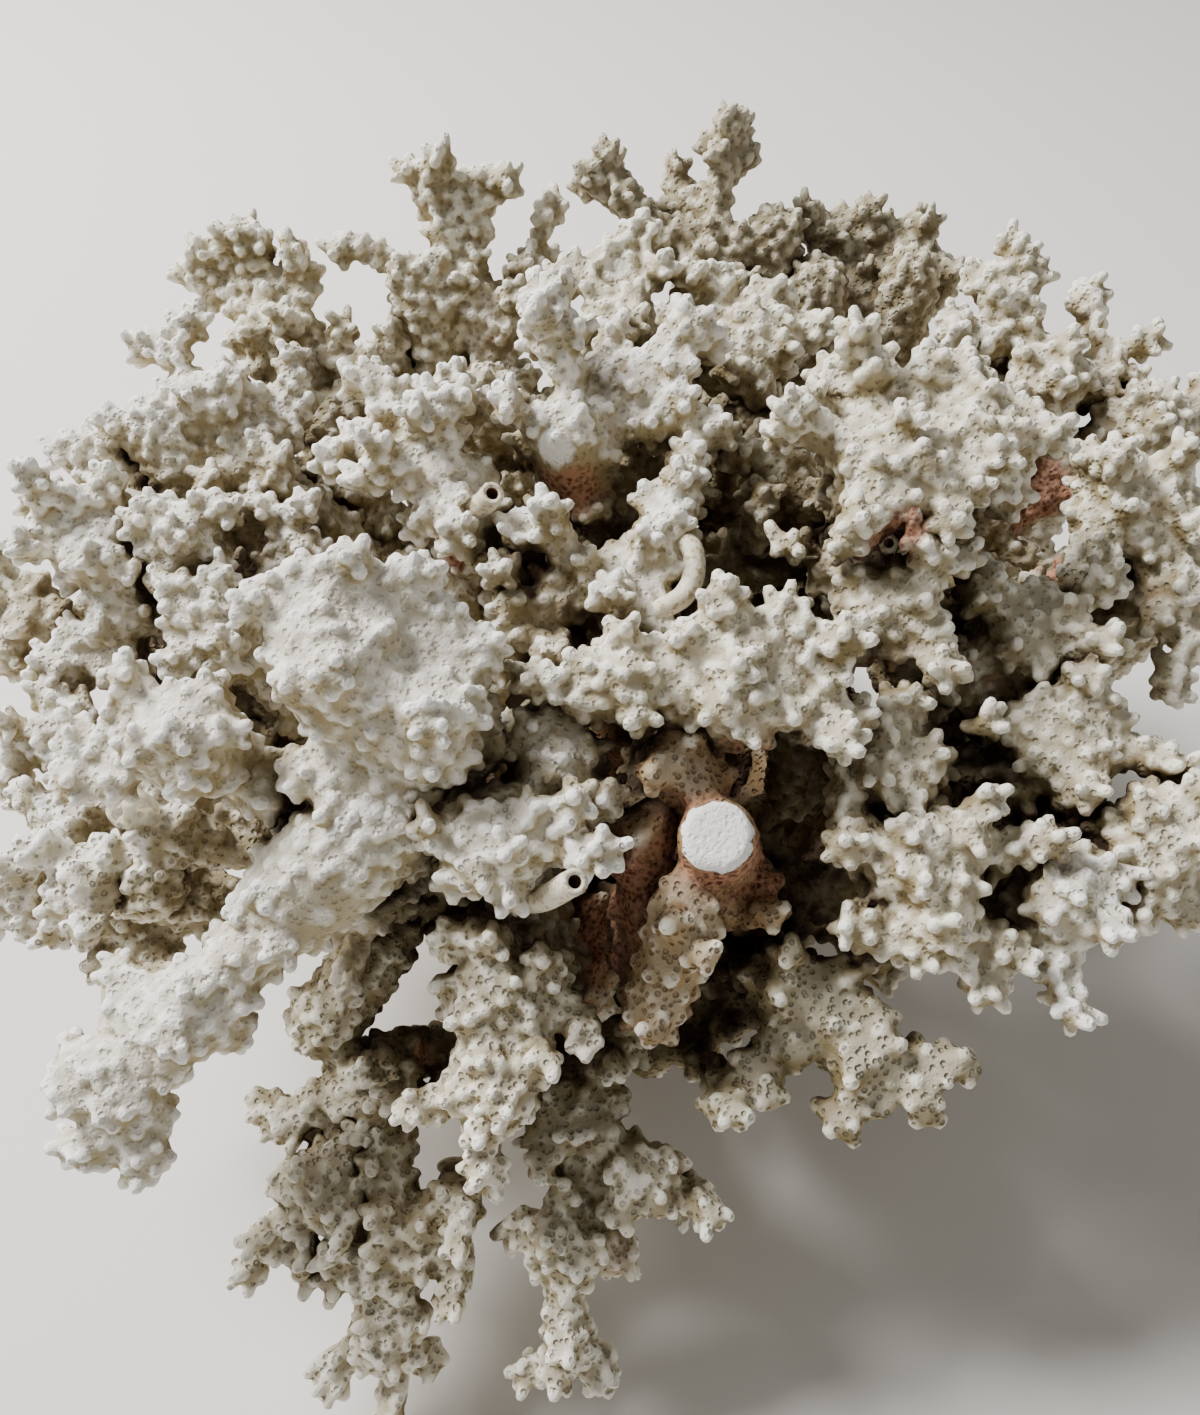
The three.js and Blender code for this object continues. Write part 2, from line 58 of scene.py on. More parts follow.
def addNode(tree, kind, settings, inputs):
    node = tree.nodes.new("ShaderNode" + kind)
    for name, value in settings.items():
        setattr(node, name, value)
    for name, value in inputs.items():
        if isinstance(value, bpy.types.NodeSocket):
            tree.links.new(value, node.inputs[name])
        else:
            node.inputs[name].default_value = value
    return node


def newPiece(name, mesh):
    piece = bpy.data.objects.new(name, mesh)
    bpy.context.scene.collection.objects.link(piece)
    return piece


def meshFrom(name, bm):
    mesh = bpy.data.meshes.new(name)
    bm.to_mesh(mesh)
    bm.free()
    return mesh


def fused(piece, voxel, softening, kept=1.0):
    # one closed skin round everything in the mesh, a little softened
    remesh = piece.modifiers.new("fuse", "REMESH")
    remesh.mode = "VOXEL"
    remesh.voxel_size = voxel
    soften = piece.modifiers.new("soften", "SMOOTH")
    soften.factor = 0.5
    soften.iterations = softening
    if kept < 1:
        thin = piece.modifiers.new("thin", "DECIMATE")
        thin.ratio = kept
    shaped = piece.evaluated_get(bpy.context.evaluated_depsgraph_get())
    old = piece.data
    piece.data = bpy.data.meshes.new_from_object(shaped)
    piece.modifiers.clear()
    bpy.data.meshes.remove(old)


# Growth: a soft core on the CAD solid, then lobes, then warts

growth = {
    "coreVoxel": 1.5 * mm,
    "lobeVoxel": 1.1 * mm,
    "wartVoxel": 0.63 * mm,
    "innerVoxel": 1.2 * mm,  # on the trunk and the base, which are seen only through the gaps
    "swell": 2.4 * mm,  # how much more a stem grows at its foot than at its tips
    "swellReach": 0.6,  # share of a head's length over which that fades
    "twigReach": 0.7,  # share of its length, from the foot, that bears twigs
    "thicketReach": 0.4,  # and the longer ones that close the depths of the colony
    "wartRise": 1.3 * mm,  # a wart's height that counts as fully raised
    "kept": 0.3,  # share of the faces kept once the skin is closed
    "feel": 6 * mm,  # how widely a bud feels whether it stands on a tip or in a hollow, at the most
    "feelSpacings": 1.5,  # and how widely in spacings
    "flatJut": 0.1,  # a bud that juts out as much as this gets its own length
    "jutSpan": 0.3,  # and one that juts out this much more gets all that fingers add
    "stunt": 0.3,  # share of that which a bud in a hollow loses at the most
    "jitter": 0.25,  # how far buds lean at random
    "clearance": 5 * mm,  # heads that face each other more closely than this draw back
    "retreat": 1.8 * mm,  # by how much, at the most
}
# What is noted at each vertex of a skin, for the stone to read
markNames = ("rise", "inner", "crevice", "rusty", "worn", "young", "pricked")

# How each kind of branch grows. Spacings, widths and lengths in mm. Limbs nearer to each other than
# twice the web grow together, stout is what the solid gains all round, less than nothing where the
# warts need room inside the CAD box, and bare is the share of a head that is plain stem. Outward is
# how far buds lean to the growth direction, finger how much longer they get on tips and edges, and
# pricked how plainly the cups show.
habits = {
    "knobbly": {
        "web": 1.8, "stout": -0.7, "bare": 0.12, "outward": 0.35, "finger": 1.0, "pricked": 0.45,
        "thicket": {"spacing": 11, "width": (5, 7), "length": (20, 32)},
        "twigs": {"spacing": 18, "width": (6, 7.5), "length": (10, 13)},
        "lobes": {"spacing": 6.5, "width": (5, 6.6), "length": (3.6, 5.0)},
        "warts": {"spacing": 2.5, "width": (2.4, 3.0), "length": (2.5, 3.4)},
    },
    "dusty": {
        "web": 2.6, "stout": 0.1, "bare": 0.05, "outward": 0.2, "finger": 1.2, "pricked": 0.3,
        "thicket": {"spacing": 16, "width": (5, 7), "length": (16, 24)},
        "twigs": {"spacing": 22, "width": (8, 10), "length": (8, 10)},
        "lobes": {"spacing": 7, "width": (5.5, 7.5), "length": (2.8, 3.8)},
        "warts": {"spacing": 2.4, "width": (2.3, 2.9), "length": (2.0, 2.8)},
    },
    "hanging": {
        "web": 1.0, "stout": -0.6, "bare": 0.0, "outward": 0.6, "finger": 0.9, "pricked": 0.8,
        "thicket": {"spacing": 18, "width": (4.5, 5.5), "length": (14, 20)},
        "twigs": {"spacing": 14, "width": (4.5, 5.5), "length": (10, 15)},
        "lobes": {"spacing": 6.2, "width": (4.4, 5.8), "length": (3.2, 4.6)},
        "warts": {"spacing": 2.5, "width": (2.4, 3.0), "length": (2.5, 3.4)},
    },
    "pitted": {
        "web": 2.6, "stout": 0.2, "bare": 0.1, "outward": 0.8, "finger": 0.9, "pricked": 1.0,
        "thicket": {"spacing": 16, "width": (6, 8), "length": (16, 24)},
        "twigs": {"spacing": 13, "width": (5.5, 7), "length": (13, 19)},
        "lobes": {"spacing": 7, "width": (4.6, 6), "length": (4, 5.5)},
        "warts": {"spacing": 3.6, "width": (2.6, 3.4), "length": (1.3, 2.0)},
    },
    "slender": {
        "web": 2.4, "stout": 0.1, "bare": 0.12, "outward": 0.45, "finger": 1.0, "pricked": 0.45,
        "thicket": {"spacing": 12, "width": (4.5, 6), "length": (18, 28)},
        "twigs": {"spacing": 18, "width": (4.5, 6), "length": (12, 16)},
        "lobes": {"spacing": 6, "width": (4.5, 5.8), "length": (3.4, 5)},
        "warts": {"spacing": 2.4, "width": (2.2, 2.8), "length": (2.4, 3.3)},
    },
    "trunk": {
        "web": 2.0, "stout": -0.9, "bare": 0.0, "outward": 0.3, "finger": 0, "pricked": 0.8,
        "thicket": {"spacing": 18, "width": (8, 11), "length": (24, 40)},
        "twigs": {"spacing": 16, "width": (7, 10), "length": (16, 26)},
        "lobes": {"spacing": 10, "width": (6, 9), "length": (6, 9)},
        "warts": {"spacing": 5, "width": (3.2, 4.4), "length": (3.6, 5)},
    },
    "base": {
        "web": 2.0, "stout": -0.9, "bare": 0.0, "outward": 0.0, "finger": 0, "pricked": 0.8,
        "thicket": {"spacing": 30, "width": (8, 11), "length": (20, 30)},
        "twigs": {"spacing": 26, "width": (12, 18), "length": (14, 20)},
        "lobes": {"spacing": 13, "width": (10, 16), "length": (7, 11)},
        "warts": {"spacing": 5, "width": (3.4, 4.8), "length": (3.2, 4.2)},
    },
}
growsAs = {
    "dusty": ("spread_upper", "spread_left", "spread_long"),
    "hanging": (
        "long_left", "long_left_out", "long_left_low", "long_middle", "tassel", "shade_left", "fringe_left",
        "fringe_edge", "rear_skirt",
    ),
    "pitted": ("lace_fan", "snapped", "understory"),
    "slender": ("candelabra", "back_fan", "edge_upper"),
    "base": ("holdfast",),
}


# Places in mm from the origin, each with the radius it fades over. Rust is what a sponge left on the
# stone.
rust = {
    "snapped": [(19, -60, 103, 12), (24, -54, 104, 10), (25, -56, 92, 11)],
    "table": [(25, -51, 113, 8)],
    "flame": [(-5, 5, 130, 8.5), (-4, 8, 124, 8)],
    "bank": [(50, -20, 135, 9), (50, -18, 129, 7)],
    "ridge": [(50, -21, 139, 6), (50, -27, 118, 7), (47, -24, 117, 7)],
    "shoulder_right": [(69, -24, 107, 7), (60, -18, 104, 9)],
    "mast": [(98, 37, 123, 4.5), (97, 34, 118, 5)],
    "edge_upper": [(93, 32, 108, 12)],
    "globe_right": [(90, 6, 112, 9)],
    "trunk_front": [(8, -61, 88, 20), (4, -50, 70, 20), (-6, -42, 50, 14)],
    "trunk_front_right": [(14, -36, 60, 16)],
    "long_left": [(-42, -56, 62, 9), (-32, -71, 53, 5)],
    "tassel": [(-10, -62, 84, 8)],
    "long_middle": [(-2, -66, 62, 8)],
    "understory": [(16, -52, 64, 9)],
    "arch": [(-26, -8, 122, 5)],
    "trunk_centre": [(4, -8, 78, 16)],
}
# A scar is worn smooth and white.
scars = {
    "flame": [(-7.4, 5.5, 138, 5)],
    "spread_long": [(-46, -68.7, 99.8, 6)],
}
# No twig, lobe or wart grows here.
bare = {
    "flame": [(-6, 5.5, 131, 8)],
    "spread_long": [(-46, -68.7, 99.8, 7)],
    "snapped": [(19.5, -61, 106, 11)],
}
# Thick limbs, in mm, each about the middle of its length. They bear warts but no lobes.
limbs = {
    "snapped": [
        {"at": (20, -58.5, 100.5), "lean": (-0.12, -0.42, 0.9), "width": 14.5, "length": 25},
        {"at": (23, -52, 86), "lean": (-0.2, -0.3, 0.9), "width": 13, "length": 36},
        {"at": (12, -71, 86.5), "lean": (-0.22, -0.54, -0.81), "width": 11, "length": 33},
        {"at": (15.5, -69, 91), "lean": (-0.1, -0.5, -0.8), "width": 8.5, "length": 17},
        {"at": (8.5, -74, 81), "lean": (-0.3, -0.5, -0.8), "width": 8.5, "length": 17},
    ],
    "flame": [{"at": (-5.5, 9.5, 131), "lean": (-0.1, -0.15, 1), "width": 14, "length": 26}],
    "spread_long": [{"at": (-41, -60, 103), "lean": (-0.5, -0.35, -0.3), "width": 20, "length": 40}],
    "trunk_front": [{"at": (9, -57, 80), "lean": (0, 0.2, 1), "width": 13, "length": 52}],
    "plume": [
        {"at": (30, 50, 102), "lean": (0, -0.3, 1), "width": 15, "length": 50},
        {"at": (27, 72, 108), "lean": (0, 0.2, 1), "width": 15, "length": 44},
    ],
    "tower_left": [
        {"at": (-27, 60, 102), "lean": (0.1, -0.2, 1), "width": 15, "length": 46},
        {"at": (-39, 72, 124), "lean": (-0.2, 0.2, 1), "width": 14, "length": 36},
    ],
    "crown_side": [
        {"at": (-79, 35, 94), "lean": (-0.3, 0.2, 0.9), "width": 15, "length": 36},
        {"at": (-90, 36, 112), "lean": (-0.4, 0.3, 0.7), "width": 14, "length": 34},
    ],
    "arch": [{"at": (-26, 4, 103), "lean": (0, 0.3, 1), "width": 14, "length": 38}],
    "nest": [{"at": (-18, 0, 98), "lean": (0, 0.2, 1), "width": 13, "length": 38}],
    "bank_left": [{"at": (35, 20, 98), "lean": (0.2, 0.3, 0.9), "width": 13, "length": 36}],
    "globe_right": [{"at": (106, 3, 98), "lean": (0.4, 0, 0.8), "width": 18, "length": 42}],
    "back_fan": [
        {"at": (70, 80, 122), "lean": (0.1, 0.1, 1), "width": 14, "length": 36},
        {"at": (50, 80, 116), "lean": (0, 0.1, 1), "width": 16, "length": 44},
    ],
    "candelabra": [{"at": (40, 88, 127), "lean": (0, 0.1, 1), "width": 14, "length": 38}],
    "mast": [{"at": (88, 60, 120), "lean": (0.2, 0.2, 1), "width": 15, "length": 38}],
    "shoulder_right": [{"at": (71, -2, 96), "lean": (0.2, 0, 1), "width": 14, "length": 36}],
    "knuckle": [{"at": (-23, -36, 84), "lean": (0, -0.2, 1), "width": 14, "length": 36}],
    "cliff_upper": [{"at": (40, -25, 85), "lean": (0, -0.2, 1), "width": 13, "length": 34}],
    "long_left": [{"at": (-45, -62, 66), "lean": (-0.5, -0.5, -0.5), "width": 13, "length": 34}],
    "shade_left": [{"at": (-86, -48, 76), "lean": (-0.4, 0.4, -0.6), "width": 13, "length": 34}],
}


# The face where a branch broke, in mm: what is beyond it, within its reach, is cut back to it and white.
breaks = {
    "snapped": {"at": (18.7, -63.4, 108.6), "facing": (-0.09, -0.63, 0.77), "reach": 8, "rim": 0.4},
}


def cutBack(broken, place):
    # the place moved down to the broken face, and whether it now lies on it
    centre = Vector(broken["at"]) * mm
    facing = Vector(broken["facing"]).normalized()
    above = (place - centre).dot(facing)
    if above < -broken["rim"] * mm or (place - centre).length > broken["reach"] * mm:
        return place, False
    return place - facing * max(above, 0), True


def markedBy(marks, place):
    # 1 in the middle of a mark, fading to 0 at its radius
    share = max((1 - (place - Vector(mark[:3]) * mm).length / (mark[3] * mm) for mark in marks), default=0)
    return max(0, share)


def habitOf(name):
    if name.startswith("trunk"):
        return habits["trunk"]
    return next((habits[habit] for habit, names in growsAs.items() if name in names), habits["knobbly"])


# One bud: a blunt little column, which every limb, twig, lobe and wart is a copy of.
budShape = {"sides": 8, "rings": 6, "bluntness": 3, "pole": 0.99}
bm = bmesh.new()
bmesh.ops.create_uvsphere(bm, u_segments=budShape["sides"], v_segments=budShape["rings"], radius=1)
for vert in bm.verts:
    if abs(vert.co.z) < budShape["pole"]:
        girth = (1 - abs(vert.co.z) ** budShape["bluntness"]) ** (1 / budShape["bluntness"])
        vert.co.xy = vert.co.xy.normalized() * girth
bud = {
    "corners": [vert.co.copy() for vert in bm.verts],
    "faces": [[vert.index for vert in face.verts] for face in bm.faces],
}
bm.free()


def placedBud(place, direction, width, length):
    turn = direction.to_track_quat("Z", "Y").to_matrix().to_4x4()
    return Matrix.Translation(place) @ turn @ Matrix.Diagonal((width / 2, width / 2, length / 2, 1))


def withBuds(bm, buds):
    # the mesh in bm together with a copy of the bud for each placing
    count = len(bud["corners"])
    corners = [placing @ corner for placing in buds for corner in bud["corners"]]
    faces = [
        [corner + step * count for corner in face]
        for step in range(len(buds))
        for face in bud["faces"]
    ]
    copies = bpy.data.meshes.new("buds")
    copies.from_pydata(corners, [], faces)
    bm.from_mesh(copies)
    bpy.data.meshes.remove(copies)


def spacedPlaces(bm, rng, spacing, wanted):
    # vertices in a shuffled order, none nearer to an earlier one than the spacing
    order = [vert for vert in bm.verts if wanted(vert.co)]
    rng.shuffle(order)
    taken = {}
    places = []
    for vert in order:
        cell = tuple(math.floor(c / spacing) for c in vert.co)
        near = (
            other
            for x in (-1, 0, 1)
            for y in (-1, 0, 1)
            for z in (-1, 0, 1)
            for other in taken.get((cell[0] + x, cell[1] + y, cell[2] + z), ())
        )
        if any((other - vert.co).length_squared < spacing * spacing for other in near):
            continue
        taken.setdefault(cell, []).append(vert.co.copy())
        places.append((vert.co.copy(), vert.normal.copy()))
    return places


def budsOver(bm, rng, kind, habit, wanted):
    cloud = KDTree(len(bm.verts))
    for index, vert in enumerate(bm.verts):
        cloud.insert(vert.co, index)
    cloud.balance()
    feel = min(growth["feelSpacings"] * kind["spacing"] * mm, growth["feel"])
    buds = []
    for place, normal in spacedPlaces(bm, rng, kind["spacing"] * mm, wanted):
        near = [found[0] for found in cloud.find_range(place, feel)]
        jut = (place - sum(near, Vector()) / len(near)).dot(normal) / feel  # 0 on the flat, 0.5 on a tip
        outward = (place - heart).normalized()
        jitter = Vector((rng.uniform(-1, 1), rng.uniform(-1, 1), rng.uniform(-1, 1))) * growth["jitter"]
        direction = (normal * (1 - habit["outward"]) + outward * habit["outward"] + jitter).normalized()
        width = rng.uniform(*kind["width"]) * mm
        length = rng.uniform(*kind["length"]) * mm
        longer = (jut - growth["flatJut"]) / growth["jutSpan"]
        length *= 1 + habit["finger"] * max(-growth["stunt"], min(1, longer))
        buds.append(placedBud(place, direction, width, length))
    return buds


def moveAlongNormals(mesh, distance):
    bm = bmesh.new()
    bm.from_mesh(mesh)
    bm.normal_update()
    for vert in bm.verts:
        vert.co += vert.normal * distance
    bm.to_mesh(mesh)
    bm.free()


def growCore(name):
    # the CAD solid with its limbs webbed together, then its twigs and lobes
    habit = habitOf(name)
    rng = random.Random(name)
    bm = bmesh.new()
    bm.from_mesh(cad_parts[name].data)
    bmesh.ops.remove_doubles(bm, verts=bm.verts, dist=weld)
    piece = newPiece(name + "_skin", meshFrom(name, bm))
    fused(piece, growth["coreVoxel"], softening=3)
    moveAlongNormals(piece.data, habit["web"] * mm)
    fused(piece, growth["coreVoxel"], softening=4)

    bm = bmesh.new()
    bm.from_mesh(piece.data)
    bm.normal_update()
    foot = min((vert.co for vert in bm.verts), key=lambda place: (place - heart).length).copy()
    longest = max((vert.co - foot).length for vert in bm.verts)

    def along(place):
        return (place - foot).length / longest

    def growing(place):
        return along(place) >= habit["bare"] and markedBy(bare.get(name, []), place) == 0

    def twiggy(place):
        return along(place) < growth["twigReach"] and growing(place)

    def thick(place):
        return along(place) < growth["thicketReach"]

    for vert in bm.verts:
        share = min(1, along(vert.co) / growth["swellReach"])
        vert.co += vert.normal * (growth["swell"] * (1 - share) + (habit["stout"] - habit["web"]) * mm)
    buds = budsOver(bm, rng, habit["twigs"], habit, twiggy)
    buds += budsOver(bm, rng, habit["thicket"], habit, thick)
    buds += budsOver(bm, rng, habit["lobes"], habit, growing)
    for limb in limbs.get(name, []):
        lean = Vector(limb["lean"]).normalized()
        placing = placedBud(Vector(limb["at"]) * mm, lean, limb["width"] * mm, limb["length"] * mm)
        # the second copy, turned by half a side, rounds off the corners of the first
        buds += [placing, placing @ Matrix.Rotation(math.pi / budShape["sides"], 4, "Z")]
    withBuds(bm, buds)
    bm.to_mesh(piece.data)
    bm.free()
    fused(piece, growth["lobeVoxel"], softening=2)
    return {"piece": piece, "rng": rng, "habit": habit, "growing": growing, "along": along}


# Rays from a place on the skin tell how closed in it is: one straight out and a ring of slanting ones.
shelter = {
    "range": 45 * mm,  # how far a place looks for its neighbours
    "nearRange": 11 * mm,  # and for the sides of the crevice it may lie in
    "lift": 1.5 * mm,  # how far off the skin a ray starts
    "tilt": math.radians(55),  # of the slanting rays
    "rays": 6,  # in the ring
}
fan = [Vector((0, 0, 1))] + [
    Matrix.Rotation(math.tau * step / shelter["rays"], 3, "Z")
    @ Vector((math.sin(shelter["tilt"]), 0, math.cos(shelter["tilt"])))
    for step in range(shelter["rays"])
]


def shelterOf(name, colony, owners, mesh):
    # for each vertex: how closed in it is by the colony, how deep in a crevice, and how near the next
    # head is. A ray that meets nothing counts as twice its range, where its share of inner is 0.
    found = []
    for vert in mesh.vertices:
        turn = vert.normal.to_track_quat("Z", "Y")
        start = vert.co + vert.normal * shelter["lift"]
        hits = [colony.ray_cast(start, turn @ ray, shelter["range"]) for ray in fan]
        gaps = [shelter["range"] * 2 if hit[3] is None else hit[3] for hit in hits]
        alone = hits[0][2] is None or owners[hits[0][2]] == name
        found.append({
            "inner": sum(1 - 0.5 * gap / shelter["range"] for gap in gaps) / len(fan),
            "crevice": sum(max(0, 1 - gap / shelter["nearRange"]) for gap in gaps) / len(fan),
            "ahead": growth["clearance"] if alone else gaps[0] + shelter["lift"],
        })
    return found


def growWarts(name, core, colony, owners):
    # the core drawn back from its neighbours, then its warts, and what the stone reads at each vertex
    piece = core["piece"]
    found = shelterOf(name, colony, owners, piece.data)
    faceMarks = {
        key: [sum(found[v][key] for v in face.vertices) / len(face.vertices) for face in piece.data.polygons]
        for key in ("inner", "crevice")
    }
    bm = bmesh.new()
    bm.from_mesh(piece.data)
    bm.normal_update()
    for vert, seen in zip(bm.verts, found):
        tight = max(0, growth["clearance"] - seen["ahead"]) / 2
        vert.co -= vert.normal * min(tight, growth["retreat"])
    bm.normal_update()
    under = BVHTree.FromBMesh(bm)
    withBuds(bm, budsOver(bm, core["rng"], core["habit"]["warts"], core["habit"], core["growing"]))
    bm.to_mesh(piece.data)
    bm.free()
    hidden = name == "holdfast" or name.startswith("trunk")
    voxel = growth["innerVoxel"] if hidden else growth["wartVoxel"]
    fused(piece, voxel, softening=1, kept=growth["kept"])

    mesh = piece.data
    marks = {key: [] for key in markNames}
    for vert in mesh.vertices:
        vert.co.z = max(vert.co.z, 0)  # nothing reaches below the flat cut
        place, normal, face, gap = under.find_nearest(vert.co)
        above = gap if (vert.co - place).dot(normal) > 0 else 0
        marks["rise"].append(min(above / growth["wartRise"], 1))
        marks["inner"].append(faceMarks["inner"][face])
        marks["crevice"].append(faceMarks["crevice"][face])
        marks["young"].append(core["along"](vert.co))
        marks["pricked"].append(core["habit"]["pricked"])
        marks["rusty"].append(markedBy(rust.get(name, []), vert.co))
        vert.co, onBreak = cutBack(breaks[name], vert.co) if name in breaks else (vert.co, False)
        marks["worn"].append(1 if onBreak else markedBy(scars.get(name, []), vert.co))
    for key, values in marks.items():
        mesh.attributes.new(key, "FLOAT", "POINT").data.foreach_set("value", values)
    mesh.shade_smooth()
    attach(piece, "root")
    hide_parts(name)
    return piece


# Aragonite: the coral's own stone, grown, dried and bleached by the sun.
# The eye gets a chalky matt white, pricked all over by cups. Painted shade darkens its hollows, its cups and
# its creases, and browns its depths, which hold some real dirt too.

# The finishes differ in lightness partly as painted light and shade: bleached is paler and more whitened on
# top for the heads most in the light, beige darker and less whitened for those turned from it.
finishes = {
    "bleached": {"tip": "#FDFAF3", "body": "#E8E1CF", "hollow": "#A1916A", "shade": "#998963", "dustAndTopLight": 0.45},
    "ivory": {"tip": "#F8F3E5", "body": "#DDD3B9", "hollow": "#8B7A52", "shade": "#82724D", "dustAndTopLight": 0.3},
    "beige": {"tip": "#D8D0BD", "body": "#C1B79E", "hollow": "#7A6B4B", "shade": "#6E6145", "dustAndTopLight": 0.15},
    "stained": {"tip": "#F1E9D8", "body": "#DCCFB5", "hollow": "#967B50", "shade": "#8E7049", "dustAndTopLight": 0.2},
}
cups = {
    "spacing": 1.4 * mm,
    "depth": 0.8 * mm,
    "pitShare": -1.6,  # of the depth, downwards
    "comb": 1.15 * mm,  # cells of the rust stain
    "mottle": 9 * mm,  # patches of paler stone
    "grain": 0.6 * mm,  # coarser than the stone's own, which is too fine to show
    "grainShare": 0.4,  # of the depth
}
# depth is painted shade, with some real dirt, for the colony's depths; net and cell are the rust, chalk the
# worn stone
stainsAndShade = {"net": "#A9785C", "cell": "#64291C", "depth": "#3E2B1F", "chalk": "#FBF9F5"}


def coralStone(slot, colours):
    material = bpy.data.materials.new("aragonite_" + slot)
    material.use_nodes = True
    tree = material.node_tree
    shader = tree.nodes["Principled BSDF"]
    smooth = {"interpolation_type": "SMOOTHSTEP"}
    mixed = {"data_type": "RGBA"}
    spots = addNode(tree, "TexCoord", {}, {})
    places = spots.outputs["Object"]
    rise, inner, crevice, rusty, worn, young, pricked = (
        addNode(tree, "Attribute", {"attribute_name": name}, {}).outputs["Fac"]
        for name in markNames
    )
    mottle = addNode(tree, "TexNoise", {}, {"Vector": places, "Scale": 1 / cups["mottle"], "Detail": 3})
    cup = addNode(tree, "TexVoronoi", {}, {"Vector": places, "Scale": 1 / cups["spacing"]})
    pit = addNode(tree, "MapRange", smooth, {
        "Value": cup.outputs["Distance"], "From Min": 0.16, "From Max": 0.46, "To Min": 1, "To Max": 0})
    grain = addNode(tree, "TexNoise", {}, {"Vector": places, "Scale": 1 / cups["grain"], "Detail": 2})

    # painted shade: darker, creamier hollows between the warts, through the body to the whiter tips of the
    # warts
    raised = addNode(tree, "MapRange", smooth, {"Value": rise, "From Min": 0.1, "From Max": 0.7})
    deep = addNode(tree, "Mix", mixed, {
        0: raised.outputs[0], 6: linearColour(colours["hollow"]), 7: linearColour(colours["body"])})
    top = addNode(tree, "MapRange", smooth, {"Value": rise, "From Min": 0.45, "From Max": 1.0})
    high = addNode(tree, "Mix", mixed, {
        0: top.outputs[0], 6: deep.outputs[2], 7: linearColour(colours["tip"])})
    patches = addNode(tree, "MapRange", {}, {
        "Value": mottle.outputs["Fac"], "From Min": 0.35, "From Max": 0.65, "To Min": 0.0, "To Max": 0.4})
    mottled = addNode(tree, "Mix", mixed, {
        0: patches.outputs[0], 6: high.outputs[2], 7: linearColour(colours["body"])})

    # cups, each pit darkened with painted shade, shallower on the tips and gone where the stone is worn
    onTip = addNode(tree, "MapRange", smooth, {
        "Value": rise, "From Min": 0.5, "From Max": 1.2, "To Min": 1, "To Max": 0.3})
    cupShare = addNode(tree, "Math", {"operation": "MULTIPLY"}, {0: onTip.outputs[0], 1: pricked})
    unworn = addNode(tree, "MapRange", smooth, {
        "Value": worn, "From Min": 0.1, "From Max": 0.5, "To Min": 1, "To Max": 0.1})
    cupKept = addNode(tree, "Math", {"operation": "MULTIPLY"}, {0: cupShare.outputs[0], 1: unworn.outputs[0]})
    pitShade = addNode(tree, "Math", {"operation": "MULTIPLY"}, {0: pit.outputs[0], 1: cupKept.outputs[0]})
    pitted = addNode(tree, "Mix", mixed, {
        0: pitShade.outputs[0], 6: mottled.outputs[2], 7: linearColour(colours["shade"])})

    # lighter on what faces up, towards the tip colour: painted light from above, with some real dust
    facing = addNode(tree, "SeparateXYZ", {}, {0: spots.outputs["Normal"]})
    dustAndTopLight = addNode(tree, "MapRange", smooth, {
        "Value": facing.outputs["Z"], "From Min": 0.1, "From Max": 0.95,
        "To Min": 0, "To Max": colours["dustAndTopLight"]})
    dustedAndTopLit = addNode(tree, "Mix", mixed, {
        0: dustAndTopLight.outputs[0], 6: pitted.outputs[2], 7: linearColour(colours["tip"])})

    # creamier down the stems, partly real ageing and partly painted shade; painted shade, olive in the
    # creases and brown in the depths of the colony, where there is some real dirt too
    old = addNode(tree, "MapRange", smooth, {
        "Value": young, "From Min": 0.25, "From Max": 0.75, "To Min": 0.35, "To Max": 0})
    agedAndShaded = addNode(tree, "Mix", mixed, {
        0: old.outputs[0], 6: dustedAndTopLit.outputs[2], 7: linearColour(colours["shade"])})
    # painted shade from how closed in each vertex is: creases and sheltered parts darkened toward the shade
    # colour
    creased = addNode(tree, "Math", {"operation": "MAXIMUM"}, {0: inner, 1: crevice})
    shade = addNode(tree, "MapRange", smooth, {
        "Value": creased.outputs[0], "From Min": 0.16, "From Max": 0.46, "To Min": 0, "To Max": 0.85})
    shaded = addNode(tree, "Mix", mixed, {
        0: shade.outputs[0], 6: agedAndShaded.outputs[2], 7: linearColour(colours["shade"])})
    # painted shade, with some real dirt: the most closed-in parts of the colony darkened to a deep brown
    depth = addNode(tree, "MapRange", smooth, {
        "Value": inner, "From Min": 0.38, "From Max": 0.68, "To Min": 0, "To Max": 0.95})
    sunken = addNode(tree, "Mix", mixed, {
        0: depth.outputs[0], 6: shaded.outputs[2], 7: linearColour(stainsAndShade["depth"])})

